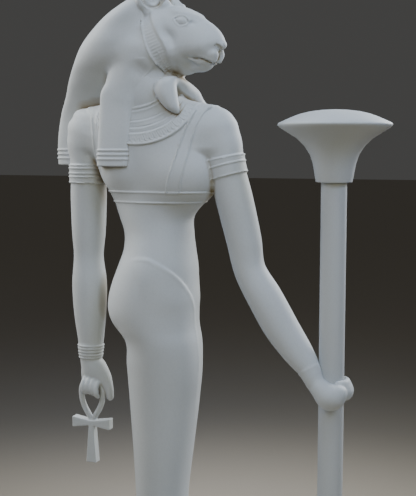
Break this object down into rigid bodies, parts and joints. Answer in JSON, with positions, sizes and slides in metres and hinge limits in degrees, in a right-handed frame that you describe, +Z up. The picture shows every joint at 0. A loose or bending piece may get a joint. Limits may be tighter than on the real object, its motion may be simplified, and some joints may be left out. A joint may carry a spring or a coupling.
{
  "type": "sekhmet statue",
  "caption": "Standing lioness-headed figure in wig, broad collar and sheath dress, holding a papyrus-topped staff and a looped cross, on a low rectangular base.",
  "frame": {"origin": "middle of the underside of the base", "axes": "+Z up; the face and feet look along -Y, where the staff stands; the chest and the ankh hand's side face -X"},
  "size_m": [0.5, 1.1338, 2.0073],
  "materials": {
    "base": "matte",
    "figure": "matte",
    "papyrus_staff": "matte",
    "ankh": "matte"
  },
  "bodies": {
    "root": {"base": "base", "figure": "figure", "papyrus_staff": "papyrus_staff", "ankh": "ankh"}
  },
  "joints": []
}
